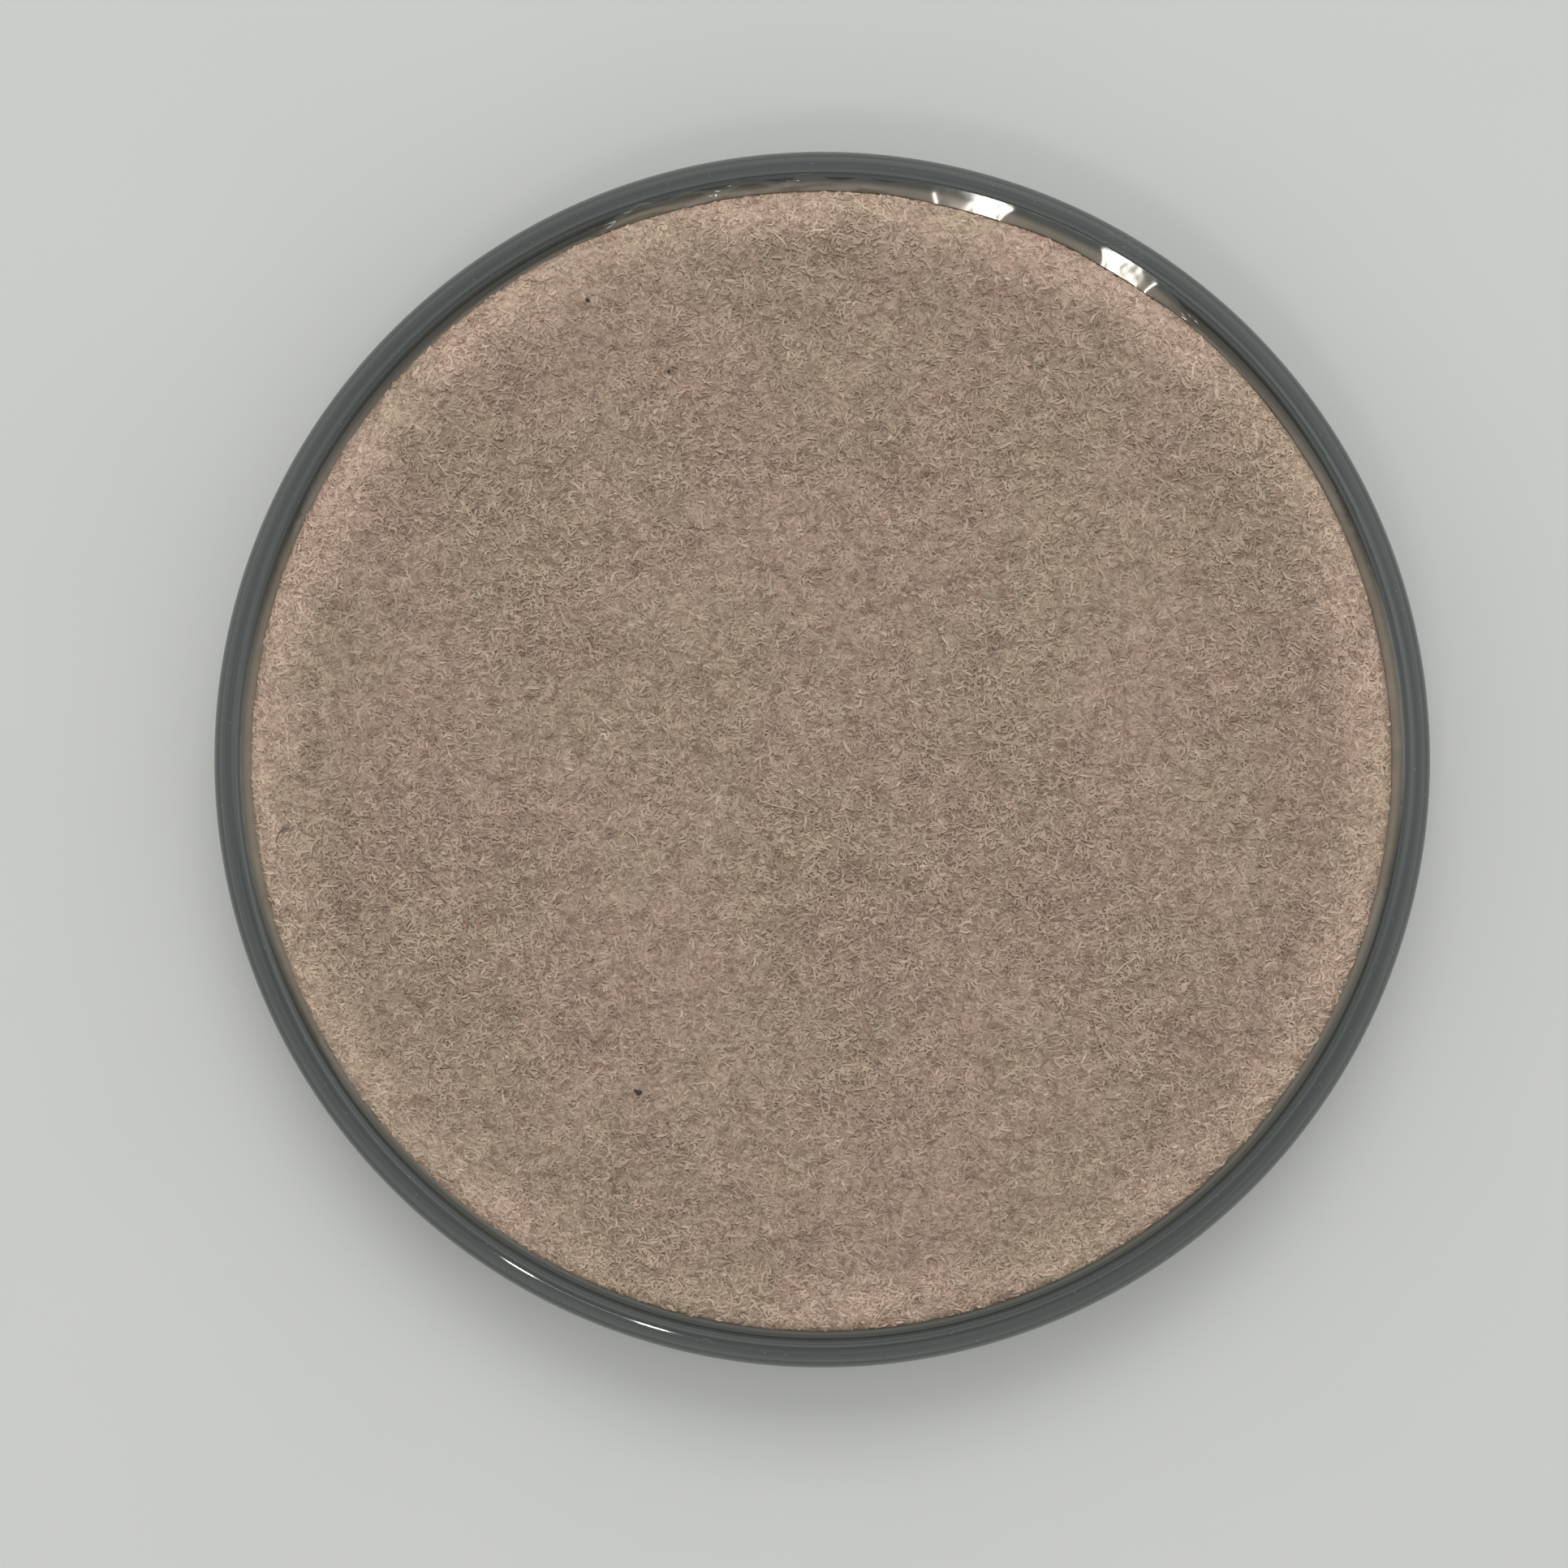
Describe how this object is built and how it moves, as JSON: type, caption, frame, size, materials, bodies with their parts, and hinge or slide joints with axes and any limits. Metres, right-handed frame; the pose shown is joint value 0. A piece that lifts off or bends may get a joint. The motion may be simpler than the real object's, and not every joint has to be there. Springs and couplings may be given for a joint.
{
  "type": "felt polishing wheel",
  "caption": "Round felt-faced polishing wheel: pressed wool disc glued into a shallow glossy cup with a rounded lip, on a riveted hub with a blind spindle thread.",
  "frame": {"origin": "centre of the foot plane, under the wheel's axis", "axes": "+Z along the wheel's axis, out of the felt face; the wheel is round, so X and Y are any two directions square to it, with the rivets halfway between them"},
  "size_m": [0.05, 0.05, 0.0055],
  "materials": {
    "cup_moulding": "high gloss, dark slate grey",
    "plate_steel": "cold rolled",
    "plated_steel": "bright zinc plate",
    "bush_brass": "turned",
    "clear_glue": "clear amber glue, glossy",
    "wool_felt": "pressed wool, brown grey"
  },
  "bodies": {
    "root": {"rim_cup": "cup_moulding", "backing_plate": "plate_steel", "hub_flange": "plated_steel", "threaded_bush": "bush_brass", "hub_rivet_1": "plated_steel", "hub_rivet_2": "plated_steel", "hub_rivet_3": "plated_steel", "hub_rivet_4": "plated_steel", "face_adhesive": "clear_glue", "adhesive_bead": "clear_glue", "felt_face": "wool_felt"}
  },
  "joints": []
}
